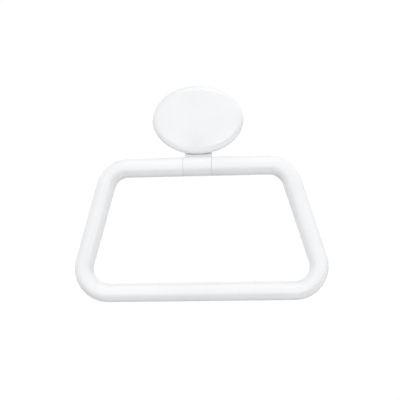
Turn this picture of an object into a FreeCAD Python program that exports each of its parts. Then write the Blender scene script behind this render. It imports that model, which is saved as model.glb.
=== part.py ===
import FreeCAD, Part
import math
import os
import re
import Sketcher

# Towel ring: an oval wall bracket with a barrel under it, a domed cover that snaps over its screws, and a
# trapezoid ring of bent tube whose two ends turn on pins in the barrel.
# Millimetres, +X right, +Z up, the front faces -Y. The origin is on the wall, at the middle of the oval.

doc = FreeCAD.newDocument("towel_ring")
sheet = doc.addObject("Spreadsheet::Sheet", "sizes")

DRIVING_SIZES = [
    ("cover_width", 76.4, "oval cover, across"),
    ("cover_height", 57.0, "oval cover, up and down"),
    ("cover_depth", 17.5, "wall to the top of the crown"),
    ("crown_radius", 130.0, "sphere that the face of the cover follows"),
    ("edge_round", 7.0, "rounding between the face and the side of the cover"),
    ("cover_wall", 2.2, "wall of the cover"),
    ("cover_lift", 0.6, "gap from the wall to the back edge of the cover"),
    ("bead_height", 0.8, "snap bead inside the cover"),
    ("bead_width", 1.2, "width of the snap bead"),
    ("plate_thickness", 3.0, "back plate of the bracket"),
    ("plate_play", 0.3, "gap from the plate, and from the lip, to the cover"),
    ("upstand_height", 5.2, "low wall that stands on the plate"),
    ("upstand_wall", 1.8, "thickness of that low wall"),
    ("upstand_inset", 1.2, "gap from the low wall to the inside of the cover"),
    ("lip_width", 1.4, "lip that the bead snaps behind"),
    ("rib_wall", 1.6, "stiffening ribs on the plate"),
    ("rib_height", 3.6, "height of the ribs above the plate"),
    ("boss_diameter", 12.0, "boss round a screw hole"),
    ("boss_height", 1.5, "height of the boss above the plate"),
    ("axis_drop", 38.5, "middle of the oval down to the axis of the barrel"),
    ("axis_reach", 20.0, "wall to the axis of the barrel"),
    ("barrel_length", 23.2, "barrel between the two ends of the ring"),
    ("neck_width", 22.6, "neck between the plate and the barrel"),
    ("neck_thickness", 9.0, "neck where it lies on the wall"),
    ("neck_top", 14.0, "middle of the oval down to the top of the neck"),
    ("neck_gap", 0.6, "cover down to the web of the neck"),
    ("neck_heel", 2.5, "bottom of the neck on the wall, above the axis"),
    ("neck_web", 4.6, "web to the barrel, half its height there"),
    ("neck_wall", 2.2, "wall of the neck round the hollow in its back"),
    ("neck_round", 1.2, "rounding of the long edges of the neck"),
    ("heel_round", 5.0, "rounding of its heel"),
    ("tube_diameter", 16.0, "tube of the ring, and the barrel"),
    ("tube_wall", 1.8, "wall of that tube"),
    ("end_gap", 0.2, "running gap between the barrel and an end of the ring"),
    ("end_bevel", 0.2, "bevel of the edges at that gap"),
    ("ring_top_width", 144.0, "between the sharp corners of the centre line, top"),
    ("ring_bottom_width", 208.0, "the same, bottom"),
    ("ring_height", 103.0, "top bar to bottom bar, centre to centre"),
    ("bend_radius", 20.0, "centre line of the four bends"),
    ("pin_diameter", 8.0, "pins that the ring turns on"),
    ("pin_play", 0.07, "radial clearance of a pin in the barrel"),
    ("pin_reach", 9.5, "length of a pin inside the barrel"),
    ("pin_bevel", 0.8, "bevel at the tip of a pin"),
    ("plug_length", 16.0, "end plug inside the tube"),
    ("plug_collar", 2.5, "full part of the plug at the mouth of the tube"),
    ("plug_play", 0.03, "radial clearance of the plug in the tube"),
    ("plug_rib", 0.6, "height of its crush ribs"),
    ("plug_rib_width", 1.2, "width of a crush rib"),
    ("plug_core", 5.0, "diameter of the hollow in the plug"),
    ("screw_spacing", 40.0, "between the two wall screws"),
    ("screw_diameter", 4.0, "thread of a wall screw, across its crests"),
    ("shank_diameter", 3.0, "plain shank between its head and its thread"),
    ("shank_length", 6.0, "length of that shank, through the plate"),
    ("screw_length", 35.0, "from under the head to the tip"),
    ("screw_point", 6.0, "length of the tapered tip"),
    ("head_diameter", 8.0, "head of a wall screw"),
    ("head_height", 2.6, "height of the head"),
    ("head_edge", 0.9, "height of the head at its rim"),
    ("recess_span", 4.4, "cross recess, tip to tip"),
    ("recess_slot", 1.1, "width of its arms"),
    ("recess_depth", 1.5, "depth of the cross recess"),
    ("hole_play", 0.3, "radial clearance of a screw in the plate"),
]
PLUG_RIBS = 6
ALIASES = [alias for alias, _, _ in DRIVING_SIZES]

for row, (alias, value, note) in enumerate(DRIVING_SIZES, start=1):
    sheet.set(f"A{row}", note)
    sheet.set(f"B{row}", str(value))
    sheet.setAlias(f"B{row}", alias)
doc.recompute()


def formula(text):
    """The expression with each size name pointed at its cell."""
    return re.sub(r"[a-z_]+", lambda word: "sizes." + word[0] if word[0] in ALIASES else word[0], text)


def worked_out(text):
    return float(sheet.evalExpression(formula(text)))


def bind(thing, target, text):
    thing.setExpression(target, formula(text))


def must_hold(truth, claim):
    if not truth:
        raise ValueError("not so: " + claim)


# Places that follow from the sizes, as expressions

INNER = "cover_wall"
LIP_FRONT = "plate_thickness + upstand_height"
LIP_BACK = f"({LIP_FRONT} - lip_width)"
BEAD_FRONT = f"({LIP_BACK} - plate_play)"
SCREW_SEAT = "(plate_thickness + boss_height)"
RING_END = "(barrel_length / 2 + end_gap)"
NECK_SHELF = "(cover_height / 2 + neck_gap)"
BORE = "(pin_diameter + 2 * pin_play)"
TUBE_BORE = "(tube_diameter - 2 * tube_wall)"
PLUG = f"({TUBE_BORE} - 2 * plug_play)"
PLUG_BARE = f"({PLUG} - 2 * plug_rib)"


# Sketches, each on a plane of its own body and bound to the sheet

def new_body(name):
    body = doc.addObject("PartDesign::Body", name)
    body.Label = name
    return body


def new_sketch(body, name, plane, offset="0"):
    """A sketch on the XZ plane (its normal is -Y) or the YZ plane (+X), set off along that normal."""
    sketch = body.newObject("Sketcher::SketchObject", f"{body.Name}_{name}")
    sketch.AttachmentSupport = [(next(p for p in body.Origin.OriginFeatures if p.Role == plane), "")]
    sketch.MapMode = "FlatFace"
    bind(sketch, "AttachmentOffset.Base.z", offset)
    return sketch


def tie(sketch, kind, *references):
    sketch.addConstraint(Sketcher.Constraint(kind, *references))


def dimension(sketch, kind, references, text):
    index = sketch.addConstraint(Sketcher.Constraint(kind, *references, worked_out(text)))
    name = f"{kind}_{index}"
    sketch.renameConstraint(index, name)
    bind(sketch, "Constraints." + name, text)


def place_point(sketch, geometry, point, across, up):
    """Holds a point at (across, up) from the origin of the sketch."""
    for kind, axis, text in (("DistanceX", -2, across), ("DistanceY", -1, up)):
        if text == "0":
            tie(sketch, "PointOnObject", geometry, point, axis)
        else:
            dimension(sketch, kind, (-1, 1, geometry, point), text)


def vector(across, up):
    return FreeCAD.Vector(worked_out(across), worked_out(up), 0)


def circle(sketch, diameter, across="0", up="0"):
    radius = worked_out(diameter) / 2
    index = sketch.addGeometry(Part.Circle(vector(across, up), FreeCAD.Vector(0, 0, 1), radius))
    if across == up == "0":
        tie(sketch, "Coincident", index, 3, -1, 1)
    else:
        place_point(sketch, index, 3, across, up)
    dimension(sketch, "Diameter", (index,), diameter)


def oval(sketch, inset):
    """The outline of the cover, moved in by inset."""
    across, up = f"(cover_width - 2 * ({inset}))", f"(cover_height - 2 * ({inset}))"
    side, top = vector(f"{across} / 2", "0"), vector("0", f"{up} / 2")
    index = sketch.addGeometry(Part.Ellipse(side, top, FreeCAD.Vector(0, 0, 0)))
    sketch.exposeInternalGeometry(index)
    tie(sketch, "Coincident", index, 3, -1, 1)
    tie(sketch, "Horizontal", index + 1)
    dimension(sketch, "Distance", (index + 1,), across)
    dimension(sketch, "Distance", (index + 2,), up)


def outline(sketch, corners):
    """A closed run of straight edges through corners, each a pair of expressions."""
    points = [vector(across, up) for across, up in corners]
    first = sketch.GeometryCount
    for start, end in zip(points, points[1:] + points[:1]):
        sketch.addGeometry(Part.LineSegment(start, end))
    for step, (across, up) in enumerate(corners):
        tie(sketch, "Coincident", first + step, 2, first + (step + 1) % len(corners), 1)
        place_point(sketch, first + step, 1, across, up)


def rectangle(sketch, left, right, bottom, top):
    outline(sketch, [(left, bottom), (right, bottom), (right, top), (left, top)])


# Features on those sketches

def finished(body, feature):
    doc.recompute()
    must_hold("Invalid" not in feature.State and "Error" not in feature.State, f"{feature.Name} is built")
    body.Tip = feature
    return feature


def pad(body, name, sketch, length, middle=False, backwards=False):
    before = 0.0 if body.Tip is None else body.Tip.Shape.Volume
    feature = body.newObject("PartDesign::Pad", f"{body.Name}_{name}")
    feature.Profile = sketch
    feature.Midplane = middle
    feature.Reversed = backwards
    bind(feature, "Length", length)
    finished(body, feature)
    must_hold(feature.Shape.Volume > before, f"{feature.Name} adds material")
    return feature


def pocket(body, name, sketch, length=None, backwards=False, middle=False):
    """A pocket of this length, or one right through."""
    before = body.Tip.Shape.Volume
    feature = body.newObject("PartDesign::Pocket", f"{body.Name}_{name}")
    feature.Profile = sketch
    feature.Midplane = middle
    feature.Reversed = backwards
    if length is None:
        feature.Type = "ThroughAll"
    else:
        bind(feature, "Length", length)
    finished(body, feature)
    must_hold(feature.Shape.Volume < before, f"{feature.Name} takes material away")
    return feature


def turned(body, name, sketch, cut=False):
    """A profile turned once round the horizontal axis of its sketch."""
    kind = "PartDesign::Groove" if cut else "PartDesign::Revolution"
    feature = body.newObject(kind, f"{body.Name}_{name}")
    feature.Profile = sketch
    feature.ReferenceAxis = (sketch, ["H_Axis"])
    feature.Angle = 360
    return finished(body, feature)


def dressed(body, name, kind, property_name, text, wanted):
    """A fillet or chamfer on each edge of the body that wanted(edge) picks."""
    base = body.Tip
    edges = [f"Edge{number}" for number, edge in enumerate(base.Shape.Edges, start=1) if wanted(edge)]
    must_hold(edges, f"{body.Name}_{name} finds its edges")
    feature = body.newObject(kind, f"{body.Name}_{name}")
    feature.Base = (base, edges)
    bind(feature, property_name, text)
    return finished(body, feature)


def rounded(body, name, radius, wanted):
    return dressed(body, name, "PartDesign::Fillet", "Radius", radius, wanted)


def bevelled(body, name, width, wanted):
    return dressed(body, name, "PartDesign::Chamfer", "Size", width, wanted)


def lies_at(edge, across=None, reach=None, up=None):
    """Whether an edge keeps to the coordinates that are given."""
    span = (edge.FirstParameter, (edge.FirstParameter + edge.LastParameter) / 2, edge.LastParameter)
    points = [edge.valueAt(step) for step in span]
    goals = [(axis, goal) for axis, goal in enumerate((across, reach, up)) if goal is not None]
    return all(abs(point[axis] - goal) < 1e-3 for point in points for axis, goal in goals)


def is_round(edge, diameter):
    return isinstance(edge.Curve, Part.Circle) and abs(edge.Curve.Radius - diameter / 2) < 1e-3


# The cover: an oval dome, open at the back, that snaps over the plate

def dome(body, inset, back, front):
    """The form of the cover before its edge is eased: a straight side and a face that follows a sphere."""
    side = new_sketch(body, "oval", "XZ_Plane", back)
    oval(side, inset)
    pad(body, "side", side, f"{front} - ({back})")

    crown = new_sketch(body, "crown_line", "YZ_Plane")
    radius, apex, clear = f"(crown_radius - ({inset}))", f"-({front})", f"-({front}) - cover_depth"
    sphere = Part.Circle(vector(f"{apex} + {radius}", "0"), FreeCAD.Vector(0, 0, 1), worked_out(radius))
    rim = FreeCAD.Vector(worked_out(f"{apex} + {radius} - sqrt({radius}^2 - cover_width^2)"),
                         worked_out("cover_width"), 0)
    start, end = sphere.parameter(rim), sphere.parameter(vector(apex, "0"))
    crown.addGeometry(Part.ArcOfCircle(sphere, start, end))
    corners = [rim, vector(clear, "cover_width"), vector(clear, "0"), vector(apex, "0")]
    for first, second in zip(corners, corners[1:]):
        crown.addGeometry(Part.LineSegment(first, second))
    for first, second in ((0, 1), (1, 2), (2, 3)):
        tie(crown, "Coincident", first, 1 if first == 0 else 2, second, 1)
    tie(crown, "Coincident", 3, 2, 0, 2)
    tie(crown, "PointOnObject", 0, 3, -1)
    place_point(crown, 0, 2, apex, "0")
    dimension(crown, "Radius", (0,), radius)
    dimension(crown, "DistanceY", (-1, 1, 0, 1), "cover_width")
    place_point(crown, 1, 2, clear, "cover_width")
    place_point(crown, 2, 2, clear, "0")
    turned(body, "crown", crown, cut=True)


def is_dome_edge(edge):
    """Whether an edge is part of the line where the straight side meets the face."""
    box = edge.BoundBox
    return min(box.XLength, box.YLength, box.ZLength) > worked_out("cover_lift / 2")


def make_cover():
    outer = new_body("cover_outer_form")
    dome(outer, "0", "cover_lift", "cover_depth")
    rounded(outer, "edge", "edge_round", is_dome_edge)

    cavity = new_body("cover_cavity_form")
    dome(cavity, INNER, "0", "cover_depth - cover_wall")
    bevelled(cavity, "edge", "(edge_round - cover_wall) * (2 - sqrt(2))", is_dome_edge)
    bead = new_sketch(cavity, "bead_line", "XZ_Plane", BEAD_FRONT)
    oval(bead, "0")
    oval(bead, f"{INNER} + bead_height")
    pocket(cavity, "bead", bead, "bead_width")
    notch = new_sketch(cavity, "notch_line", "XZ_Plane")
    half = "(neck_width / 2 + plate_play)"
    rectangle(notch, f"-{half}", half, "-cover_height", "-(cover_height / 2 - 3 * cover_wall)")
    pad(cavity, "notch", notch, "neck_thickness + plate_play")

    cover = doc.addObject("Part::Cut", "cover")
    cover.Label = "cover"
    cover.Base = outer
    cover.Tool = cavity
    return cover


# The bracket: neck, plate, snap wall, ribs, bosses and barrel, moulded in one

def make_bracket():
    body = new_body("bracket")
    side = new_sketch(body, "neck_line", "YZ_Plane")
    floor = "-(axis_drop - neck_heel)"
    outline(side, [
        ("0", "-neck_top"),
        ("0", floor),
        ("-(axis_reach - neck_web / 2)", "-(axis_drop + neck_web)"),
        ("-(axis_reach + neck_web / 2)", "-(axis_drop - neck_web)"),
        ("-neck_thickness", f"-{NECK_SHELF}"),
        ("-neck_thickness", "-neck_top"),
    ])
    pad(body, "neck", side, "neck_width", middle=True)
    heel = worked_out(floor)
    rounded(body, "heel", "heel_round", lambda edge: lies_at(edge, reach=0, up=heel))
    half, head = worked_out("neck_width / 2"), worked_out("-neck_top")
    rounded(body, "neck_edges", "neck_round", lambda edge: not lies_at(edge, reach=0)
            and not lies_at(edge, up=head) and any(lies_at(edge, across=sign * half) for sign in (1, -1)))

    plate = new_sketch(body, "plate_line", "XZ_Plane")
    oval(plate, f"{INNER} + plate_play")
    pad(body, "plate", plate, "plate_thickness")
    wall = new_sketch(body, "upstand_line", "XZ_Plane")
    oval(wall, f"{INNER} + upstand_inset")
    oval(wall, f"{INNER} + upstand_inset + upstand_wall")
    pad(body, "upstand", wall, LIP_FRONT)
    lip = new_sketch(body, "lip_line", "XZ_Plane", LIP_BACK)
    oval(lip, f"{INNER} + plate_play")
    oval(lip, f"{INNER} + upstand_inset + upstand_wall")
    pad(body, "lip", lip, "lip_width")

    middle = f"({INNER} + upstand_inset + upstand_wall / 2)"
    beside = "((neck_width - rib_wall) / 2)"
    top = f"(cover_height / 2 - {middle}) * sqrt(1 - ({beside} / (cover_width / 2 - {middle}))^2)"
    ribs = new_sketch(body, "rib_line", "XZ_Plane")
    for inner, outer in ((f"({beside} - rib_wall / 2)", f"({beside} + rib_wall / 2)"),
                         (f"-({beside} + rib_wall / 2)", f"-({beside} - rib_wall / 2)")):
        rectangle(ribs, inner, outer, "-neck_top - rib_wall", top)
    pad(body, "ribs", ribs, "plate_thickness + rib_height")

    core = new_sketch(body, "core_line", "XZ_Plane")
    half = "(neck_width / 2 - neck_wall)"
    rectangle(core, f"-{half}", half, f"{floor} + neck_wall", "-(neck_top + neck_wall)")
    pocket(body, "core", core, "neck_thickness - neck_wall", backwards=True)

    bosses = new_sketch(body, "boss_line", "XZ_Plane")
    holes = new_sketch(body, "hole_line", "XZ_Plane", SCREW_SEAT)
    for sign in ("", "-"):
        circle(bosses, "boss_diameter", f"{sign}screw_spacing / 2")
        circle(holes, "screw_diameter + 2 * hole_play", f"{sign}screw_spacing / 2")
    pad(body, "bosses", bosses, SCREW_SEAT)
    pocket(body, "holes", holes)

    barrel = new_sketch(body, "barrel_line", "YZ_Plane")
    circle(barrel, "tube_diameter", "-axis_reach", "-axis_drop")
    pad(body, "barrel", barrel, "barrel_length", middle=True)
    bore = new_sketch(body, "bore_line", "YZ_Plane")
    circle(bore, BORE, "-axis_reach", "-axis_drop")
    pocket(body, "bore", bore, "2 * barrel_length", middle=True)
    end, diameter = worked_out("barrel_length / 2"), worked_out("tube_diameter")
    bevelled(body, "barrel_ends", "end_bevel", lambda edge: is_round(edge, diameter) and any(
        lies_at(edge, across=sign * end) for sign in (1, -1)))
    return body


# The ring: a trapezoid of bent tube, open at the barrel

def make_ring():
    body = new_body("ring")
    route = new_sketch(body, "route", "XZ_Plane", "axis_reach")
    places = [
        ("ring_top_width / 2", "-axis_drop"),
        ("ring_bottom_width / 2", "-(axis_drop + ring_height)"),
        ("-ring_bottom_width / 2", "-(axis_drop + ring_height)"),
        ("-ring_top_width / 2", "-axis_drop"),
    ]
    start, finish = vector(RING_END, "-axis_drop"), vector(f"-{RING_END}", "-axis_drop")
    stops = [start] + [vector(across, up) for across, up in places] + [finish]
    begin = start
    for before, corner, after in zip(stops, stops[1:], stops[2:]):
        come, go = (corner - before).normalize(), (after - corner).normalize()
        turn = come.getAngle(go)
        radius = worked_out("bend_radius")
        enter = corner - come * radius * math.tan(turn / 2)
        leave = corner + go * radius * math.tan(turn / 2)
        middle = corner + (go - come).normalize() * radius / math.cos(turn / 2)
        halfway = middle + (corner - middle).normalize() * radius
        route.addGeometry(Part.LineSegment(begin, enter))
        route.addGeometry(Part.Arc(leave, halfway, enter))
        begin = leave
    route.addGeometry(Part.LineSegment(begin, finish))
    for bend in (1, 3, 5, 7):
        tie(route, "Tangent", bend - 1, 2, bend, 2)
        tie(route, "Tangent", bend, 1, bend + 1, 1)
        if bend > 1:
            tie(route, "Equal", 1, bend)
    dimension(route, "Radius", (1,), "bend_radius")
    tie(route, "Horizontal", 0)
    tie(route, "Horizontal", 8)
    for step, (across, up) in enumerate(places):
        corner = route.addGeometry(Part.Point(stops[step + 1]), True)
        tie(route, "PointOnObject", corner, 1, 2 * step)
        tie(route, "PointOnObject", corner, 1, 2 * step + 2)
        place_point(route, corner, 1, across, up)
    dimension(route, "DistanceX", (-1, 1, 0, 1), RING_END)
    dimension(route, "DistanceX", (8, 2, -1, 1), RING_END)

    section = new_sketch(body, "section", "YZ_Plane", RING_END)
    circle(section, "tube_diameter", "-axis_reach", "-axis_drop")
    circle(section, TUBE_BORE, "-axis_reach", "-axis_drop")
    tube = body.newObject("PartDesign::AdditivePipe", "ring_tube")
    tube.Profile = section
    tube.Spine = route
    finished(body, tube)
    end, diameter = worked_out(RING_END), worked_out("tube_diameter")
    bevelled(body, "tube_ends", "end_bevel", lambda edge: is_round(edge, diameter) and any(
        lies_at(edge, across=sign * end) for sign in (1, -1)))
    return body


# The end plugs: pushed into the tube as far as its mouth, each with the pin that turns in the barrel

def make_plug(name, side):
    body = new_body(name)
    core = new_sketch(body, "core_line", "YZ_Plane")
    circle(core, PLUG_BARE)
    pad(body, "core", core, "plug_length")
    collar = new_sketch(body, "collar_line", "YZ_Plane")
    circle(collar, PLUG)
    pad(body, "collar", collar, "plug_collar")
    rib = new_sketch(body, "rib_line", "YZ_Plane")
    rectangle(rib, "-plug_rib_width / 2", "plug_rib_width / 2", f"{PLUG_BARE} / 2 - plug_rib", f"{PLUG} / 2")
    first_rib = pad(body, "rib", rib, "plug_length - plug_collar")
    ribs = body.newObject("PartDesign::PolarPattern", f"{name}_ribs")
    ribs.Originals = [first_rib]
    ribs.Axis = (rib, ["N_Axis"])
    ribs.Angle = 360
    ribs.Occurrences = PLUG_RIBS
    finished(body, ribs)
    pin = new_sketch(body, "pin_line", "YZ_Plane")
    circle(pin, "pin_diameter")
    pad(body, "pin", pin, "end_gap + pin_reach", backwards=True)
    hollow = new_sketch(body, "hollow_line", "YZ_Plane", "plug_length")
    circle(hollow, "plug_core")
    pocket(body, "hollow", hollow, "plug_length - plug_collar")
    tip, diameter = worked_out("-(end_gap + pin_reach)"), worked_out("pin_diameter")
    bevelled(body, "pin_tip", "pin_bevel", lambda edge: is_round(edge, diameter) and lies_at(edge, across=tip))
    if side < 0:
        body.Placement.Rotation = FreeCAD.Rotation(FreeCAD.Vector(0, 0, 1), 180)
    bind(body, "Placement.Base.x", f"{side} * {RING_END}")
    bind(body, "Placement.Base.y", "-axis_reach")
    bind(body, "Placement.Base.z", "-axis_drop")
    return body


# The wall screws: their heads lie on the bosses, under the cover

def make_screw(name, side):
    body = new_body(name)
    line = new_sketch(body, "profile", "YZ_Plane")
    outline(line, [
        ("screw_length", "0"),
        ("screw_length - screw_point", "screw_diameter / 2"),
        ("shank_length", "screw_diameter / 2"),
        ("shank_length", "shank_diameter / 2"),
        ("0", "shank_diameter / 2"),
        ("0", "head_diameter / 2"),
        ("-head_edge", "head_diameter / 2"),
        ("-head_height", "0"),
    ])
    turned(body, "turned", line)
    rim, width = worked_out("-head_edge"), worked_out("head_diameter")
    rounded(body, "head", "head_edge", lambda edge: is_round(edge, width) and lies_at(edge, reach=rim))
    cross = new_sketch(body, "recess_line", "XZ_Plane", "head_height")
    arm, slot = "recess_span / 2", "recess_slot / 2"
    outline(cross, [
        (arm, slot), (slot, slot), (slot, arm), (f"-{slot}", arm), (f"-{slot}", slot), (f"-{arm}", slot),
        (f"-{arm}", f"-{slot}"), (f"-{slot}", f"-{slot}"), (f"-{slot}", f"-{arm}"), (slot, f"-{arm}"),
        (slot, f"-{slot}"), (arm, f"-{slot}"),
    ])
    pocket(body, "recess", cross, "recess_depth")
    bind(body, "Placement.Base.x", f"{side} * screw_spacing / 2")
    bind(body, "Placement.Base.y", f"-{SCREW_SEAT}")
    return body


pieces = [
    make_bracket(),
    make_cover(),
    make_ring(),
    make_plug("left_end_plug", -1),
    make_plug("right_end_plug", 1),
    make_screw("left_wall_screw", -1),
    make_screw("right_wall_screw", 1),
]
doc.recompute()

for item in doc.Objects:
    must_hold("Invalid" not in item.State and "Error" not in item.State, f"{item.Name} is built")
for piece in pieces:
    must_hold(not piece.Shape.isNull() and piece.Shape.isValid(), f"{piece.Label} is a valid shape")
    must_hold(len(piece.Shape.Solids) == 1, f"{piece.Label} is one solid")

os.makedirs("parts", exist_ok=True)
for piece in pieces:
    piece.Shape.exportStep(f"parts/{piece.Label}.step")
    print(f"{piece.Label}: {piece.Shape.Volume / 1000:.2f} cm3")
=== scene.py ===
import math

import bmesh
import bpy
from mathutils import Matrix, Vector


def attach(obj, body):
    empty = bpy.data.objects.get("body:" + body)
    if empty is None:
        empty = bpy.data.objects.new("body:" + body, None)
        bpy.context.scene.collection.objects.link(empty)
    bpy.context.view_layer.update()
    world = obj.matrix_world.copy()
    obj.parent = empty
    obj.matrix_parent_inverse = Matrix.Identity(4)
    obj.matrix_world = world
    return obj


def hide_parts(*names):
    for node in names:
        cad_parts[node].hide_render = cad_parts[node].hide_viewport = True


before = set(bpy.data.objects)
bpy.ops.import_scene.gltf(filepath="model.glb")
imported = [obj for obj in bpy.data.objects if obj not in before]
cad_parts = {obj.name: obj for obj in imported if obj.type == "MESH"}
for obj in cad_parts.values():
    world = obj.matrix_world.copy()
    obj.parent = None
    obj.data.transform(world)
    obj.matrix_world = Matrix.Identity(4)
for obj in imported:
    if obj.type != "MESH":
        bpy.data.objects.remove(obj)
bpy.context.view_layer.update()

# Towel ring: an oval bracket with a domed snap cover, and a trapezoid ring of bent tube that turns in its barrel.
# Metres, +X right, +Z up, the front faces -Y, and the wall is the plane Y = 0.

MM = 0.001

# Sizes of the part, as its construction gives them

OVAL_HALF_WIDTH, OVAL_HALF_HEIGHT = 38.2 * MM, 28.5 * MM
COVER_DEPTH, CROWN_RADIUS, EDGE_ROUND = 17.5 * MM, 130.0 * MM, 7.0 * MM
COVER_WALL, COVER_LIFT = 2.2 * MM, 0.6 * MM
BEAD_BACK, BEAD_FRONT, BEAD_HEIGHT = 5.3 * MM, 6.5 * MM, 0.8 * MM
INSIDE_BEVEL = (EDGE_ROUND - COVER_WALL) * (2 - math.sqrt(2))
NOTCH_HALF, NOTCH_DEPTH = 11.6 * MM, 9.3 * MM
AXIS_DROP, AXIS_REACH = 38.5 * MM, 20.0 * MM
RING_TOP, RING_BOTTOM, RING_HEIGHT, BEND_RADIUS = 144.0 * MM, 208.0 * MM, 103.0 * MM, 20.0 * MM
TUBE_RADIUS, TUBE_WALL = 8.0 * MM, 1.8 * MM
SCREW_SPACING, SCREW_SEAT, SHANK_LENGTH = 40.0 * MM, 4.5 * MM, 6.0 * MM
SCREW_LENGTH, SCREW_POINT, THREAD_RADIUS, CORE_RADIUS = 35.0 * MM, 6.0 * MM, 2.0 * MM, 1.4 * MM

# The photograph's seams are finer than the construction's, so here the tube ends 0.12 mm from the barrel, not 0.2

RING_END, END_BEVEL = 11.72 * MM, 0.12 * MM


# The camera stands where the photograph was taken from: in front, a little to the right and above

PICTURE_SIDE = 400                                   # pixels
METRES_PER_PIXEL = 0.8178 * MM                       # at the barrel
BARREL_IN_PICTURE = (197.77, 166.69)                 # pixels, right and down
CAMERA_DISTANCE = 629 * MM
CAMERA_YAW, CAMERA_PITCH, CAMERA_ROLL = 0.0702, 0.0574, -0.0251
SENSOR = 36.0


def stand_camera():
    turn = (Matrix.Rotation(CAMERA_ROLL, 3, "Z") @ Matrix.Rotation(CAMERA_PITCH, 3, "X")
            @ Matrix.Rotation(CAMERA_YAW, 3, "Y"))
    right, down, ahead = (Vector((row.x, row.z, -row.y)) for row in turn)
    middle = PICTURE_SIDE / 2
    across = (middle - BARREL_IN_PICTURE[0]) * METRES_PER_PIXEL
    lower = (middle - BARREL_IN_PICTURE[1]) * METRES_PER_PIXEL
    barrel = Vector((0, -AXIS_REACH, -AXIS_DROP))
    data = bpy.data.cameras.new("camera")
    data.sensor_width = SENSOR
    data.lens = CAMERA_DISTANCE / METRES_PER_PIXEL / PICTURE_SIDE * SENSOR
    camera = bpy.data.objects.new("camera", data)
    bpy.context.scene.collection.objects.link(camera)
    place = barrel + right * across + down * lower - ahead * CAMERA_DISTANCE
    camera.matrix_world = Matrix.Translation(place) @ Matrix((right, -down, -ahead)).transposed().to_4x4()
    bpy.context.scene.camera = camera


# Nodes

def add(tree, kind, inputs=(), **settings):
    """A node with its settings, and with each input linked if it is given a socket, or else set."""
    made = tree.nodes.new(kind)
    for name, value in settings.items():
        setattr(made, name, value)
    for name, value in dict(inputs).items():
        if isinstance(value, bpy.types.NodeSocket):
            tree.links.new(value, made.inputs[name])
        else:
            made.inputs[name].default_value = value
    return made


def new_group(name, kind, inputs, outputs):
    """A node group, its input node and its output node. Sockets are (name, kind of socket, starting value)."""
    tree = bpy.data.node_groups.new(name, kind)
    for sockets, way in ((inputs, "INPUT"), (outputs, "OUTPUT")):
        for label, socket, *start in sockets:
            made = tree.interface.new_socket(label, in_out=way, socket_type=socket)
            if start:
                made.default_value = start[0]
    return tree, tree.nodes.new("NodeGroupInput"), tree.nodes.new("NodeGroupOutput")


def maths(tree, operation, first, second=0.0, **settings):
    return add(tree, "ShaderNodeMath", {0: first, 1: second}, operation=operation, **settings).outputs[0]


def remap(tree, value, low, high, to_low=0.0, to_high=1.0):
    return add(tree, "ShaderNodeMapRange", {
        "Value": value, "From Min": low, "From Max": high, "To Min": to_low, "To Max": to_high,
    }, interpolation_type="SMOOTHSTEP").outputs["Result"]


def blended(tree, share, first, second):
    made = add(tree, "ShaderNodeMix", {0: share}, data_type="RGBA")
    for socket, colour in ((made.inputs[6], first), (made.inputs[7], second)):
        if isinstance(colour, bpy.types.NodeSocket):
            tree.links.new(colour, socket)
        else:
            socket.default_value = (*colour, 1)
    return made.outputs[2]


# Effects that the materials share

def make_moulded_skin():
    """The faint orange peel and fine grain of a polished mould, and slow changes of gloss."""
    tree, give, take = new_group("moulded_skin", "ShaderNodeTree", [
        ("Place", "NodeSocketVector"), ("Peel", "NodeSocketFloat", 420.0), ("Grain", "NodeSocketFloat", 4200.0),
        ("Grain Share", "NodeSocketFloat", 0.25),
    ], [("Height", "NodeSocketFloat"), ("Gloss", "NodeSocketFloat")])
    place = give.outputs["Place"]
    peel = add(tree, "ShaderNodeTexNoise", {"Vector": place, "Scale": give.outputs["Peel"], "Detail": 1.0})
    grain = add(tree, "ShaderNodeTexNoise", {"Vector": place, "Scale": give.outputs["Grain"], "Detail": 3.0})
    height = add(tree, "ShaderNodeMix", {0: give.outputs["Grain Share"], 2: peel.outputs[0], 3: grain.outputs[0]})
    slow = add(tree, "ShaderNodeTexNoise", {"Vector": place, "Scale": 38.0, "Detail": 3.0, "Roughness": 0.62})
    tree.links.new(height.outputs[0], take.inputs["Height"])
    tree.links.new(remap(tree, slow.outputs[0], 0.3, 0.7), take.inputs["Gloss"])
    return tree


def make_hairlines():
    """Hairline scratches from wiping: two families of long thin marks that cross, each broken into short lengths."""
    tree, give, take = new_group("hairlines", "ShaderNodeTree", [
        ("Place", "NodeSocketVector"), ("Amount", "NodeSocketFloat", 0.5),
    ], [("Mask", "NodeSocketFloat")])
    marks = []
    for turn, stretch in (((0.3, 0.5, 0.4), (2600.0, 60.0, 2600.0)), ((0.9, -0.4, 1.7), (60.0, 2300.0, 2300.0))):
        laid = add(tree, "ShaderNodeMapping", {"Vector": give.outputs["Place"], "Rotation": turn, "Scale": stretch})
        line = add(tree, "ShaderNodeTexNoise", {"Vector": laid.outputs[0], "Scale": 1.0, "Detail": 1.0})
        marks.append(remap(tree, line.outputs[0], 0.69, 0.74))
    patches = add(tree, "ShaderNodeTexNoise", {"Vector": give.outputs["Place"], "Scale": 90.0, "Detail": 2.0})
    both = maths(tree, "MAXIMUM", *marks)
    mask = maths(tree, "MULTIPLY", both, remap(tree, patches.outputs[0], 0.46, 0.62))
    tree.links.new(maths(tree, "MULTIPLY", mask, give.outputs["Amount"]), take.inputs["Mask"])
    return tree


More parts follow.
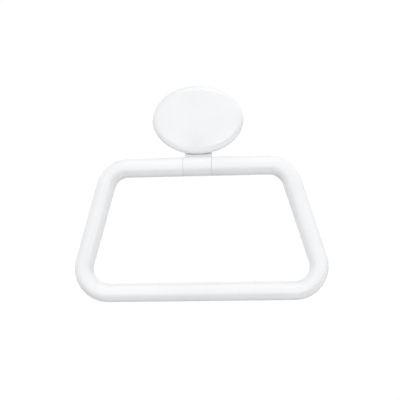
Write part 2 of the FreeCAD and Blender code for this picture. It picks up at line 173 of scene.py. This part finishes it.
def make_settled_dust():
    """Fine dust on what faces up, thicker in hollows, with a few specks."""
    tree, give, take = new_group("settled_dust", "ShaderNodeTree", [
        ("Place", "NodeSocketVector"), ("Amount", "NodeSocketFloat", 0.5),
    ], [("Mask", "NodeSocketFloat")])
    surface = add(tree, "ShaderNodeNewGeometry")
    facing = add(tree, "ShaderNodeSeparateXYZ", {0: surface.outputs["Normal"]})
    up = remap(tree, facing.outputs["Z"], 0.25, 1.0)
    hollow = remap(tree, surface.outputs["Pointiness"], 0.5, 0.42)
    cloud = add(tree, "ShaderNodeTexNoise", {"Vector": give.outputs["Place"], "Scale": 160.0, "Detail": 6.0})
    speck = add(tree, "ShaderNodeTexVoronoi", {"Vector": give.outputs["Place"], "Scale": 700.0, "Randomness": 1.0})
    specks = remap(tree, speck.outputs["Distance"], 0.12, 0.05)
    lying = maths(tree, "MULTIPLY", maths(tree, "MAXIMUM", up, hollow), remap(tree, cloud.outputs[0], 0.35, 0.75))
    both = maths(tree, "ADD", lying, maths(tree, "MULTIPLY", specks, maths(tree, "MULTIPLY", up, 0.6)))
    mask = maths(tree, "MULTIPLY", both, give.outputs["Amount"], use_clamp=True)
    tree.links.new(mask, take.inputs["Mask"])
    return tree


EFFECTS = {"skin": make_moulded_skin(), "hairlines": make_hairlines(), "dust": make_settled_dust()}


def effect(tree, name, **inputs):
    made = tree.nodes.new("ShaderNodeGroup")
    made.node_tree = EFFECTS[name]
    for label, value in inputs.items():
        socket = made.inputs[label.replace("_", " ")]
        if isinstance(value, bpy.types.NodeSocket):
            tree.links.new(value, socket)
        else:
            socket.default_value = value
    return made


# Materials

COOL_WHITE = (0.868, 0.871, 0.877)
DUST_COLOUR = (0.66, 0.655, 0.64)


def new_material(name, **sockets):
    material = bpy.data.materials.new(name)
    material.use_nodes = True
    tree = material.node_tree
    shader = tree.nodes["Principled BSDF"]
    for label, value in sockets.items():
        shader.inputs[label.replace("_", " ")].default_value = value
    return material, tree, shader


def make_gloss_plastic(name, colour, smooth, rough, peel=420.0, bump=0.005 * MM, along_tube=False, dust=0.12,
                       coat=0.07):
    """White plastic from a polished mould, or as drawn tube, with its own grain, marks and dust."""
    material, tree, shader = new_material(name, IOR=1.5, Coat_Weight=1.0, Coat_IOR=1.6, Coat_Roughness=coat)
    place = add(tree, "ShaderNodeTexCoord").outputs["Object"]
    skin = effect(tree, "skin", Place=place, Peel=peel)
    hairlines = effect(tree, "hairlines", Place=place, Amount=0.6)
    dusty = effect(tree, "dust", Place=place, Amount=dust)
    shade = add(tree, "ShaderNodeTexNoise", {"Vector": place, "Scale": 26.0, "Detail": 2.0})
    lighter = tuple(min(1.0, part * 1.012) for part in colour)
    darker = tuple(part * 0.988 for part in colour)
    base = blended(tree, remap(tree, shade.outputs[0], 0.3, 0.7), darker, lighter)
    tree.links.new(blended(tree, maths(tree, "MULTIPLY", dusty.outputs[0], 0.35), base, DUST_COLOUR),
                   shader.inputs["Base Color"])
    gloss = remap(tree, skin.outputs["Gloss"], 0.0, 1.0, smooth, rough)
    marked = maths(tree, "ADD", gloss, maths(tree, "MULTIPLY", hairlines.outputs[0], 0.12))
    tree.links.new(maths(tree, "ADD", marked, maths(tree, "MULTIPLY", dusty.outputs[0], 0.2)),
                   shader.inputs["Roughness"])
    height = skin.outputs["Height"]
    if along_tube:
        lying = add(tree, "ShaderNodeAttribute", attribute_name="tube_place").outputs["Vector"]
        drawn = add(tree, "ShaderNodeMapping", {"Vector": lying, "Scale": (900.0, 900.0, 9.0)})
        lines = add(tree, "ShaderNodeTexNoise", {"Vector": drawn.outputs[0], "Scale": 1.0, "Detail": 3.0})
        height = add(tree, "ShaderNodeMix", {0: 0.55, 2: height, 3: lines.outputs[0]}).outputs[0]
    height = maths(tree, "SUBTRACT", height, maths(tree, "MULTIPLY", hairlines.outputs[0], 0.25))
    relief = add(tree, "ShaderNodeBump", {"Strength": 0.6, "Distance": bump, "Height": height})
    tree.links.new(relief.outputs[0], shader.inputs["Normal"])
    return material


def make_matte_plastic(name, colour):
    material, tree, shader = new_material(name, IOR=1.47)
    place = add(tree, "ShaderNodeTexCoord").outputs["Object"]
    skin = effect(tree, "skin", Place=place, Peel=900.0, Grain=6000.0, Grain_Share=0.6)
    shade = add(tree, "ShaderNodeTexNoise", {"Vector": place, "Scale": 140.0, "Detail": 4.0})
    tree.links.new(blended(tree, shade.outputs[0], tuple(part * 0.93 for part in colour), colour),
                   shader.inputs["Base Color"])
    tree.links.new(remap(tree, skin.outputs["Gloss"], 0.0, 1.0, 0.5, 0.68), shader.inputs["Roughness"])
    relief = add(tree, "ShaderNodeBump", {"Strength": 0.8, "Distance": 0.04 * MM, "Height": skin.outputs["Height"]})
    tree.links.new(relief.outputs[0], shader.inputs["Normal"])
    return material


def make_turned_steel(name):
    """Zinc-plated steel with fine turning lines round the screw's own axis."""
    material, tree, shader = new_material(name, Metallic=1.0)
    place = add(tree, "ShaderNodeTexCoord").outputs["Object"]
    parts = add(tree, "ShaderNodeSeparateXYZ", {0: place})
    beside = maths(tree, "SUBTRACT", maths(tree, "ABSOLUTE", parts.outputs["X"]), SCREW_SPACING / 2)
    own = add(tree, "ShaderNodeCombineXYZ", {0: beside, 1: 0.0, 2: parts.outputs["Z"]})
    out = add(tree, "ShaderNodeVectorMath", {0: own.outputs[0]}, operation="LENGTH").outputs["Value"]
    ringed = add(tree, "ShaderNodeCombineXYZ", {0: maths(tree, "MULTIPLY", out, 9000.0),
                                                1: maths(tree, "MULTIPLY", parts.outputs["Y"], 6000.0), 2: 0.0})
    lines = add(tree, "ShaderNodeTexNoise", {"Vector": ringed.outputs[0], "Scale": 1.0, "Detail": 2.0})
    cloud = add(tree, "ShaderNodeTexNoise", {"Vector": place, "Scale": 700.0, "Detail": 4.0})
    tree.links.new(blended(tree, cloud.outputs[0], (0.52, 0.53, 0.55), (0.70, 0.71, 0.72)),
                   shader.inputs["Base Color"])
    tree.links.new(remap(tree, lines.outputs[0], 0.3, 0.7, 0.24, 0.42), shader.inputs["Roughness"])
    relief = add(tree, "ShaderNodeBump", {"Strength": 0.5, "Distance": 0.01 * MM, "Height": lines.outputs[0]})
    tree.links.new(relief.outputs[0], shader.inputs["Normal"])
    return material


FINISHES = {
    "cover": make_gloss_plastic("cover_plastic", COOL_WHITE, 0.16, 0.22, peel=330.0),
    "bracket": make_gloss_plastic("bracket_plastic", COOL_WHITE, 0.3, 0.38, peel=400.0, coat=0.2),
    "tube": make_gloss_plastic("tube_plastic", COOL_WHITE, 0.3, 0.4, peel=300.0, along_tube=True, coat=0.22),
    "plug": make_matte_plastic("plug_plastic", (0.74, 0.745, 0.75)),
    "steel": make_turned_steel("turned_steel"),
}


# Meshes

def new_piece(name, mesh, material):
    piece = bpy.data.objects.new(name, mesh)
    bpy.context.scene.collection.objects.link(piece)
    mesh.materials.clear()
    mesh.materials.append(material)
    return piece


def mesh_of(name, form):
    form.normal_update()
    mesh = bpy.data.meshes.new(name)
    form.to_mesh(mesh)
    form.free()
    return mesh


def with_modifiers(piece, *modifiers):
    """Puts these modifiers on a piece and turns the result into its plain mesh."""
    for kind, settings in modifiers:
        modifier = piece.modifiers.new(kind.lower(), kind)
        for name, value in settings.items():
            setattr(modifier, name, value)
    seen = bpy.context.evaluated_depsgraph_get()
    mesh = bpy.data.meshes.new_from_object(piece.evaluated_get(seen), preserve_all_data_layers=True, depsgraph=seen)
    mesh.name = piece.name
    piece.modifiers.clear()
    piece.data = mesh
    return piece


def shade(piece, sharp=35.0):
    """Smooth shading that breaks at edges sharper than this angle."""
    mesh = piece.data
    mesh.shade_smooth()
    mesh.set_sharp_from_angle(angle=math.radians(sharp))
    return piece


def merged_copy(node):
    """A copy of a CAD node's mesh with its loose triangles joined up."""
    form = bmesh.new()
    form.from_mesh(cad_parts[node].data)
    bmesh.ops.remove_doubles(form, verts=form.verts, dist=0.002 * MM)
    for layer in list(form.loops.layers.uv):
        form.loops.layers.uv.remove(layer)
    return form


# The cover: a shell whose face follows a sphere, its edge eased by a rolling ball, with a snap bead and a notch

COLUMNS = 240
BEAD_STEPS = 6
ROUND_STEPS = 14
FACE_STEPS = 30
ROOF_STEPS = FACE_STEPS // 3
COVER_BEVEL = 0.18 * MM
CROWN_CENTRE = COVER_DEPTH - CROWN_RADIUS            # as a depth in front of the wall
BEAD_DEPTHS = [BEAD_BACK + (BEAD_FRONT - BEAD_BACK) * step / BEAD_STEPS for step in range(BEAD_STEPS + 1)]
WALL_DEPTHS = [COVER_LIFT, 2 * MM, 4 * MM, 5 * MM, *BEAD_DEPTHS, 6.8 * MM, 8 * MM, NOTCH_DEPTH]


def outline_angles():
    """Angles round the oval, outside and inside, with columns exactly at the two sides of the notch."""
    def sides(half_width):
        turn = math.acos(NOTCH_HALF / half_width)
        return -math.pi + turn, -turn
    outside, inside = sides(OVAL_HALF_WIDTH), sides(OVAL_HALF_WIDTH - COVER_WALL)
    share = (outside[1] - outside[0]) / (2 * math.pi)
    in_notch = 2 * round(COLUMNS * share / 2)
    rest = COLUMNS - in_notch
    pairs = []
    for step in range(in_notch):
        pairs.append([low + (high - low) * step / in_notch for low, high in (outside, inside)])
    for step in range(rest):
        pairs.append([high + (2 * math.pi + low - high) * step / rest for low, high in (outside, inside)])
    return pairs, in_notch


def vertex(form, across, up, depth):
    return form.verts.new((across, -depth, up))


def on_sphere(form, across, up, radius):
    return vertex(form, across, up, CROWN_CENTRE + math.sqrt(radius ** 2 - across ** 2 - up ** 2))


def outer_column(form, angle):
    """Up the outside of the wall, round the eased edge, and over the face to just short of its middle."""
    cosine, sine = math.cos(angle), math.sin(angle)
    rim = Vector((OVAL_HALF_WIDTH * cosine, OVAL_HALF_HEIGHT * sine, 0))
    outward = Vector((OVAL_HALF_HEIGHT * cosine, OVAL_HALF_WIDTH * sine, 0)).normalized()
    centre = rim - outward * EDGE_ROUND
    centre.z = CROWN_CENTRE + math.sqrt((CROWN_RADIUS - EDGE_ROUND) ** 2 - centre.x ** 2 - centre.y ** 2)
    contact = (centre - Vector((0, 0, CROWN_CENTRE))) / (CROWN_RADIUS - EDGE_ROUND)
    climb = (contact - outward * contact.dot(outward)).normalized()

    def on_ball(turn):
        return centre + (outward * math.cos(turn) + climb * math.sin(turn)) * EDGE_ROUND

    column = []
    for depth in WALL_DEPTHS:
        rise = depth - centre.z
        at = rim if rise <= 0 else on_ball(math.asin(rise / (EDGE_ROUND * climb.z)))
        column.append(vertex(form, at.x, at.y, depth))
    first = math.asin(max(0.0, NOTCH_DEPTH - centre.z) / (EDGE_ROUND * climb.z))
    last = math.atan2(contact.dot(climb), contact.dot(outward))
    for step in range(1, ROUND_STEPS + 1):
        at = on_ball(first + (last - first) * step / ROUND_STEPS)
        column.append(vertex(form, at.x, at.y, at.z))
    edge = centre + contact * EDGE_ROUND
    for step in range(1, FACE_STEPS):
        share = 1 - step / FACE_STEPS
        column.append(on_sphere(form, edge.x * share, edge.y * share, CROWN_RADIUS))
    return column


def inner_column(form, angle):
    """Up the inside of the wall, past the snap bead, and over the roof to just short of its middle."""
    width, height = OVAL_HALF_WIDTH - COVER_WALL, OVAL_HALF_HEIGHT - COVER_WALL
    spot = Vector((width * math.cos(angle), height * math.sin(angle)))
    inward = -Vector((height * math.cos(angle), width * math.sin(angle))).normalized()
    column = []
    for depth in WALL_DEPTHS:
        along = (depth - BEAD_BACK) / (BEAD_FRONT - BEAD_BACK)
        proud = BEAD_HEIGHT * math.sqrt(max(0.0, math.sin(math.pi * along))) if 0 < along < 1 else 0.0
        at = spot + inward * proud
        column.append(vertex(form, at.x, at.y, depth))
    radius = CROWN_RADIUS - COVER_WALL
    roof = CROWN_CENTRE + math.sqrt(radius ** 2 - spot.length_squared)
    column.append(vertex(form, spot.x, spot.y, max(NOTCH_DEPTH + 0.1 * MM, roof - INSIDE_BEVEL)))
    eased = spot + inward * INSIDE_BEVEL
    for step in range(ROOF_STEPS):
        share = 1 - step / ROOF_STEPS
        column.append(on_sphere(form, eased.x * share, eased.y * share, radius))
    return column


def make_cover_shell():
    pairs, in_notch = outline_angles()
    form = bmesh.new()
    outer, inner = [], []
    for outside, inside in pairs:
        outer.append(outer_column(form, outside))
        inner.append(inner_column(form, inside))
    top, roof = vertex(form, 0, 0, COVER_DEPTH), vertex(form, 0, 0, COVER_DEPTH - COVER_WALL)
    cut = len(WALL_DEPTHS) - 1
    for here in range(COLUMNS):
        there = (here + 1) % COLUMNS
        start = cut if here < in_notch else 0
        for columns, crown, flip in ((outer, top, False), (inner, roof, True)):
            left, right = columns[here], columns[there]
            for row in range(start, len(left) - 1):
                face = [left[row], right[row], right[row + 1], left[row + 1]]
                form.faces.new(face[::-1] if flip else face)
            face = [left[-1], right[-1], crown]
            form.faces.new(face[::-1] if flip else face)
        form.faces.new([outer[here][start], inner[here][start], inner[there][start], outer[there][start]])
    for side, flip in ((0, True), (in_notch, False)):
        for row in range(cut):
            face = [outer[side][row], inner[side][row], inner[side][row + 1], outer[side][row + 1]]
            form.faces.new(face[::-1] if flip else face)
    loose = [spot for spot in form.verts if not spot.link_faces]
    bmesh.ops.delete(form, geom=loose, context="VERTS")
    bmesh.ops.recalc_face_normals(form, faces=form.faces)
    cover = new_piece("cover_shell", mesh_of("cover_shell", form), FINISHES["cover"])
    with_modifiers(cover, ("BEVEL", dict(width=COVER_BEVEL, segments=2, limit_method="ANGLE",
                                         angle_limit=math.radians(55), use_clamp_overlap=True)))
    return shade(cover, 50)


# The ring: its route and its tube follow from six corners and one radius

BEND_STEPS, TUBE_SIDES = 44, 112


def geometry_tree(name, inputs):
    return new_group(name, "GeometryNodeTree", inputs, [("Geometry", "NodeSocketGeometry")])


def grown(name, tree, material, **sizes):
    """A piece made by a tree, with the tree's named sizes, as a plain mesh."""
    piece = new_piece(name, bpy.data.meshes.new(name), material)
    modifier = piece.modifiers.new(name, "NODES")
    modifier.node_group = tree
    sockets = {item.name: item.identifier for item in tree.interface.items_tree if item.in_out == "INPUT"}
    for label, value in {**sizes, "Finish": material}.items():
        modifier[sockets[label.replace("_", " ")]] = value
    return with_modifiers(piece)


def finish_tree(tree, give, take, shape):
    real = add(tree, "GeometryNodeRealizeInstances", {"Geometry": shape})
    done = add(tree, "GeometryNodeSetMaterial", {"Geometry": real.outputs[0], "Material": give.outputs["Finish"]})
    tree.links.new(done.outputs[0], take.inputs["Geometry"])


def make_ring_tree():
    tree, give, take = geometry_tree("bent_tube", [
        ("Top Width", "NodeSocketFloat"), ("Bottom Width", "NodeSocketFloat"), ("Height", "NodeSocketFloat"),
        ("Bend Radius", "NodeSocketFloat"), ("Tube Radius", "NodeSocketFloat"), ("End", "NodeSocketFloat"),
        ("Drop", "NodeSocketFloat"), ("Reach", "NodeSocketFloat"), ("Finish", "NodeSocketMaterial"),
    ])
    size = give.outputs
    half_top, half_bottom = (maths(tree, "MULTIPLY", size[label], 0.5) for label in ("Top Width", "Bottom Width"))
    depth = maths(tree, "MULTIPLY", size["Reach"], -1.0)
    top = maths(tree, "MULTIPLY", size["Drop"], -1.0)
    bottom = maths(tree, "SUBTRACT", top, size["Height"])
    corners = [(size["End"], top), (half_top, top), (half_bottom, bottom)]
    corners += [(maths(tree, "MULTIPLY", across, -1.0), up) for across, up in corners[::-1]]
    pick = add(tree, "GeometryNodeIndexSwitch", {"Index": add(tree, "GeometryNodeInputIndex").outputs[0]},
               data_type="VECTOR")
    while len(pick.index_switch_items) < len(corners):
        pick.index_switch_items.new()
    for step, (across, up) in enumerate(corners):
        corner = add(tree, "ShaderNodeCombineXYZ", {0: across, 1: depth, 2: up})
        tree.links.new(corner.outputs[0], pick.inputs[1 + step])
    string = add(tree, "GeometryNodeMeshLine", {"Count": len(corners)})
    line = add(tree, "GeometryNodeMeshToCurve", {"Mesh": string.outputs[0]})
    laid = add(tree, "GeometryNodeSetPosition", {"Geometry": line.outputs[0], "Position": pick.outputs[0]})
    bent = add(tree, "GeometryNodeFilletCurve", {"Curve": laid.outputs[0], "Radius": size["Bend Radius"],
                                                 "Count": BEND_STEPS}, mode="POLY")
    along = add(tree, "GeometryNodeCaptureAttribute", {"Geometry": bent.outputs[0]})
    along.capture_items.new("FLOAT", "Along")
    tree.links.new(add(tree, "GeometryNodeSplineParameter").outputs["Length"], along.inputs[1])
    circle = add(tree, "GeometryNodeCurvePrimitiveCircle", {"Resolution": TUBE_SIDES,
                                                            "Radius": size["Tube Radius"]})
    spot = add(tree, "GeometryNodeCaptureAttribute", {"Geometry": circle.outputs[0]})
    spot.capture_items.new("VECTOR", "Spot")
    tree.links.new(add(tree, "GeometryNodeInputPosition").outputs[0], spot.inputs[1])
    tube = add(tree, "GeometryNodeCurveToMesh", {"Curve": along.outputs[0], "Profile Curve": spot.outputs[0]})
    parts = add(tree, "ShaderNodeSeparateXYZ", {0: spot.outputs[1]})
    place = add(tree, "ShaderNodeCombineXYZ", {0: parts.outputs[0], 1: parts.outputs[1], 2: along.outputs[1]})
    stored = add(tree, "GeometryNodeStoreNamedAttribute", {"Geometry": tube.outputs[0], "Name": "tube_place",
                                                           "Value": place.outputs[0]},
                 data_type="FLOAT_VECTOR", domain="POINT")
    finish_tree(tree, give, take, stored.outputs[0])
    return tree


def make_ring_tube():
    ring = grown("ring_tube", make_ring_tree(), FINISHES["tube"], Top_Width=RING_TOP, Bottom_Width=RING_BOTTOM,
                 Height=RING_HEIGHT, Bend_Radius=BEND_RADIUS, Tube_Radius=TUBE_RADIUS, End=RING_END,
                 Drop=AXIS_DROP, Reach=AXIS_REACH)
    form = bmesh.new()
    form.from_mesh(ring.data)
    bmesh.ops.recalc_face_normals(form, faces=form.faces)
    form.to_mesh(ring.data)
    form.free()
    with_modifiers(ring, ("SOLIDIFY", dict(thickness=TUBE_WALL, offset=-1.0, use_even_offset=True)),
                   ("BEVEL", dict(width=END_BEVEL, segments=3, limit_method="ANGLE",
                                  angle_limit=math.radians(60))))
    return shade(ring, 60)


# The rest of the bracket, the plugs and the screws

def make_moulding(name, form, finish):
    piece = new_piece(name, mesh_of(name, form), FINISHES[finish])
    with_modifiers(piece, ("WEIGHTED_NORMAL", dict(keep_sharp=True)))
    return shade(piece)


# A low riser at the head of the web, which the solids lack, closes the view under the cover. Its line is given by
# depths and heights, in millimetres.

RISER_LINE = [(9.02, -29.9), (9.02, -28.56), (10.6, -28.54), (10.85, -28.62), (10.97, -28.82), (11.02, -29.5),
              (11.22, -29.83), (11.7, -30.09), (11.7, -30.5)]
RISER_HALF = 10.6 * MM


def make_bracket():
    form = merged_copy("bracket")
    ends = [[form.verts.new((side * RISER_HALF, -depth * MM, up * MM)) for depth, up in RISER_LINE]
            for side in (-1, 1)]
    made = [form.faces.new(end) for end in ends]
    for here in range(len(RISER_LINE)):
        there = (here + 1) % len(RISER_LINE)
        made.append(form.faces.new([ends[0][here], ends[0][there], ends[1][there], ends[1][here]]))
    bmesh.ops.recalc_face_normals(form, faces=made)
    return make_moulding("bracket_moulding", form, "bracket")


# The screws: the head and plain shank as constructed, and a thread that is wound on a tapered core

THREAD_START = SHANK_LENGTH - SCREW_SEAT
THREAD_PITCH = 1.8 * MM
CORE_RINGS, CORE_SIDES, WINDING_STEPS = 60, 40, 28
TIP_SHARE = 0.12                                     # of the core's radius, left at its tip
TURNS_LEFT_OUT = 0.4                                 # at the tip, so that the ridge ends short of it
RIDGE_WIDTH = 0.62                                   # for a ridge 1 high
RUN_IN, RUN_OUT = 0.25, 0.3                          # shares of the ridge's height at its start and its end
CREST_TURN = math.pi                                 # turns the crest away from the axis


def tapered(tree, along, full, length, point):
    """A radius that is full down to the point and then narrows to its tip."""
    return add(tree, "ShaderNodeMapRange", {
        "Value": along, "From Min": maths(tree, "SUBTRACT", length, point), "From Max": length, "To Min": full,
        "To Max": maths(tree, "MULTIPLY", full, TIP_SHARE),
    }).outputs["Result"]


def make_thread_tree():
    tree, give, take = geometry_tree("wound_thread", [
        ("Core Radius", "NodeSocketFloat"), ("Thread Height", "NodeSocketFloat"), ("Pitch", "NodeSocketFloat"),
        ("Length", "NodeSocketFloat"), ("Point", "NodeSocketFloat"), ("Finish", "NodeSocketMaterial"),
    ])
    size = give.outputs
    height = add(tree, "ShaderNodeSeparateXYZ", {0: add(tree, "GeometryNodeInputPosition").outputs[0]}).outputs[2]
    core_there = tapered(tree, height, size["Core Radius"], size["Length"], size["Point"])

    tip = add(tree, "ShaderNodeCombineXYZ", {2: size["Length"]})
    axis = add(tree, "GeometryNodeCurvePrimitiveLine", {"End": tip.outputs[0]})
    divided = add(tree, "GeometryNodeResampleCurve", {"Curve": axis.outputs[0], "Count": CORE_RINGS})
    circle = add(tree, "GeometryNodeCurvePrimitiveCircle", {"Resolution": CORE_SIDES, "Radius": 1.0})
    core = add(tree, "GeometryNodeCurveToMesh", {"Curve": divided.outputs[0], "Profile Curve": circle.outputs[0],
                                                 "Scale": core_there, "Fill Caps": True})

    rise = maths(tree, "SUBTRACT", size["Length"], maths(tree, "MULTIPLY", size["Pitch"], TURNS_LEFT_OUT))
    wound = add(tree, "GeometryNodeCurveSpiral", {
        "Resolution": WINDING_STEPS, "Rotations": maths(tree, "DIVIDE", rise, size["Pitch"]), "Start Radius": 1.0,
        "End Radius": 1.0, "Height": rise})
    flat = add(tree, "ShaderNodeVectorMath", {0: add(tree, "GeometryNodeInputPosition").outputs[0],
                                              1: (1.0, 1.0, 0.0)}, operation="MULTIPLY")
    scaled = add(tree, "ShaderNodeVectorMath", {0: flat.outputs[0], 3: core_there}, operation="SCALE")
    raised = add(tree, "ShaderNodeCombineXYZ", {2: height})
    placed = add(tree, "ShaderNodeVectorMath", {0: scaled.outputs[0], 1: raised.outputs[0]}, operation="ADD")
    hugging = add(tree, "GeometryNodeSetPosition", {"Geometry": wound.outputs[0], "Position": placed.outputs[0]})
    upright = add(tree, "GeometryNodeSetCurveNormal", {"Curve": hugging.outputs[0]}, mode="Z_UP")
    run_in = remap(tree, height, 0.0, size["Pitch"], RUN_IN, 1.0)
    point_start = maths(tree, "SUBTRACT", size["Length"], size["Point"])
    run_out = remap(tree, height, point_start, size["Length"], 1.0, RUN_OUT)
    ridge = add(tree, "GeometryNodeCurvePrimitiveCircle", {"Resolution": 3, "Radius": size["Thread Height"]})
    turned = add(tree, "GeometryNodeTransform", {"Geometry": ridge.outputs[0], "Rotation": (0, 0, CREST_TURN),
                                                 "Scale": (1.0, RIDGE_WIDTH, 1.0)})
    thread = add(tree, "GeometryNodeCurveToMesh", {"Curve": upright.outputs[0], "Profile Curve": turned.outputs[0],
                                                   "Scale": maths(tree, "MULTIPLY", run_in, run_out),
                                                   "Fill Caps": True})
    both = add(tree, "GeometryNodeJoinGeometry")
    for part in (core, thread):
        tree.links.new(part.outputs[0], both.inputs[0])
    finish_tree(tree, give, take, both.outputs[0])
    return tree


THREAD = make_thread_tree()


def make_screw(name, node, across):
    form = merged_copy(node)
    beyond = [face for face in form.faces if face.calc_center_median().y > THREAD_START - 0.01 * MM]
    bmesh.ops.delete(form, geom=beyond, context="FACES")
    bmesh.ops.holes_fill(form, edges=[edge for edge in form.edges if edge.is_boundary], sides=0)
    wound = grown(name, THREAD, FINISHES["steel"], Core_Radius=CORE_RADIUS,
                  Thread_Height=THREAD_RADIUS - CORE_RADIUS, Pitch=THREAD_PITCH,
                  Length=SCREW_LENGTH - SHANK_LENGTH, Point=SCREW_POINT)
    wound.data.transform(Matrix.Translation((across, THREAD_START, 0)) @ Matrix.Rotation(-math.pi / 2, 4, "X"))
    form.from_mesh(wound.data)
    bmesh.ops.recalc_face_normals(form, faces=form.faces)
    form.to_mesh(wound.data)
    form.free()
    return shade(wound, 40)


# Room and light

WHITE_OUT = 1.02                                     # the backdrop is a clean white in the picture

# The room is made up. Its soft panels and dark patches stand for nothing that the photograph shows: their places
# and strengths were fitted, by scripts and by hand, until the render's tones came near the photograph's.

# Panels: degrees from the front to the right, degrees up, half spread in degrees, strength

PANELS = [
    (0, 0, 60, 0.76), (45, 0, 60, 0.62), (90, 0, 60, 0.50), (-45, 0, 60, 0.60), (-90, 0, 60, 0.26),
    (-135, 0, 60, 0.50), (180, 0, 60, 1.00), (60, 45, 60, 0.20), (120, 45, 60, 0.66), (-120, 45, 60, 0.25),
    (-60, 45, 60, 0.32), (60, -45, 60, 0.40), (180, -45, 60, 0.22), (0, 90, 60, 0.40), (0, -90, 60, 0.30),
    (0, 62, 37, 0.55), (90, -30, 37, 0.60), (-30, 0, 26, 0.20), (-4, -4, 22, 0.16), (20, -20, 24, 0.30),
    (-24, -14, 11, 0.30), (40, -86, 26, 0.30), (-75, -8, 32, 0.10), (-110, -30, 30, 0.05),
]
ROOM_LEVEL = 0.99

# Dark patches, given as the panels are, with the share of the light that each takes away

SHADES = [
    (-4, -14, 8, 0.25), (-6, -35, 13, 0.85), (11, -37, 14, 1.0), (32, -42, 16, 1.0), (56, -38, 16, 1.0),
    (75, -27, 15, 0.8), (89, -13, 14, 0.5), (98, -2, 12, 0.4), (-118, -42, 13, 0.9),
]
SHADE_CORE = 0.55                                    # the share of a patch's spread that is fully dark
FLOOR_RADIUS, FLOOR_DROP, FLOOR_GREY = 3.0, 1.1, 0.58


def spread_mask(tree, towards, azimuth, elevation, spread, core=0.0):
    """1 in the middle of a soft panel, or in this share of it, and 0 at its edge."""
    turn, up = math.radians(azimuth), math.radians(elevation)
    middle = Vector((math.cos(up) * math.sin(turn), -math.cos(up) * math.cos(turn), math.sin(up)))
    facing = add(tree, "ShaderNodeVectorMath", {0: towards, 1: middle}, operation="DOT_PRODUCT").outputs["Value"]
    return remap(tree, facing, math.cos(math.radians(spread)), math.cos(math.radians(spread * core)))


def light_the_room():
    scene = bpy.context.scene
    scene.view_settings.view_transform = "Standard"
    world = bpy.data.worlds.new("room")
    world.use_nodes = True
    scene.world = world
    tree = world.node_tree
    tree.nodes.clear()
    towards = add(tree, "ShaderNodeTexCoord").outputs["Generated"]
    strength = 0.0
    for azimuth, elevation, spread, power in PANELS:
        mask = spread_mask(tree, towards, azimuth, elevation, spread)
        strength = maths(tree, "ADD", strength, maths(tree, "MULTIPLY", mask, power * ROOM_LEVEL))
    for azimuth, elevation, spread, share in SHADES:
        mask = spread_mask(tree, towards, azimuth, elevation, spread, core=SHADE_CORE)
        left = maths(tree, "SUBTRACT", 1.0, maths(tree, "MULTIPLY", mask, share))
        strength = maths(tree, "MULTIPLY", strength, left)
    room = add(tree, "ShaderNodeBackground", {"Color": (1.0, 1.003, 1.008, 1), "Strength": strength})
    seen = add(tree, "ShaderNodeBackground", {"Color": (1, 1, 1, 1), "Strength": WHITE_OUT})
    mixed = add(tree, "ShaderNodeMixShader", {0: add(tree, "ShaderNodeLightPath").outputs["Is Camera Ray"],
                                              1: room.outputs[0], 2: seen.outputs[0]})
    out = tree.nodes.new("ShaderNodeOutputWorld")
    tree.links.new(mixed.outputs[0], out.inputs["Surface"])


def lay_floor():
    form = bmesh.new()
    bmesh.ops.create_circle(form, cap_ends=True, segments=64, radius=FLOOR_RADIUS)
    bmesh.ops.translate(form, verts=form.verts, vec=(0, 0, -FLOOR_DROP))
    material, tree, shader = new_material("pale_floor", Roughness=0.8)
    shader.inputs["Base Color"].default_value = (FLOOR_GREY, FLOOR_GREY, FLOOR_GREY, 1)
    glow = add(tree, "ShaderNodeEmission", {"Color": (1, 1, 1, 1), "Strength": WHITE_OUT})
    mixed = add(tree, "ShaderNodeMixShader", {0: add(tree, "ShaderNodeLightPath").outputs["Is Camera Ray"],
                                              1: shader.outputs[0], 2: glow.outputs[0]})
    tree.links.new(mixed.outputs[0], tree.nodes["Material Output"].inputs["Surface"])
    floor = new_piece("floor", mesh_of("floor", form), material)
    floor.visible_diffuse = floor.visible_glossy = floor.visible_shadow = False


stand_camera()
light_the_room()
lay_floor()

DRESSED = [
    (make_cover_shell(), "wall_bracket", "cover", "white_plastic"),
    (make_ring_tube(), "swinging_ring", "ring", "white_plastic"),
    (make_bracket(), "wall_bracket", "bracket", "white_plastic"),
    (make_moulding("left_plug_moulding", merged_copy("left_end_plug"), "plug"), "swinging_ring", "left_end_plug",
     "plug_plastic"),
    (make_moulding("right_plug_moulding", merged_copy("right_end_plug"), "plug"), "swinging_ring",
     "right_end_plug", "plug_plastic"),
    (make_screw("left_screw", "left_wall_screw", -SCREW_SPACING / 2), "wall_bracket", "left_wall_screw",
     "screw_steel"),
    (make_screw("right_screw", "right_wall_screw", SCREW_SPACING / 2), "wall_bracket", "right_wall_screw",
     "screw_steel"),
]
for piece, body, node, slot in DRESSED:
    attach(piece, body)
    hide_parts(node)
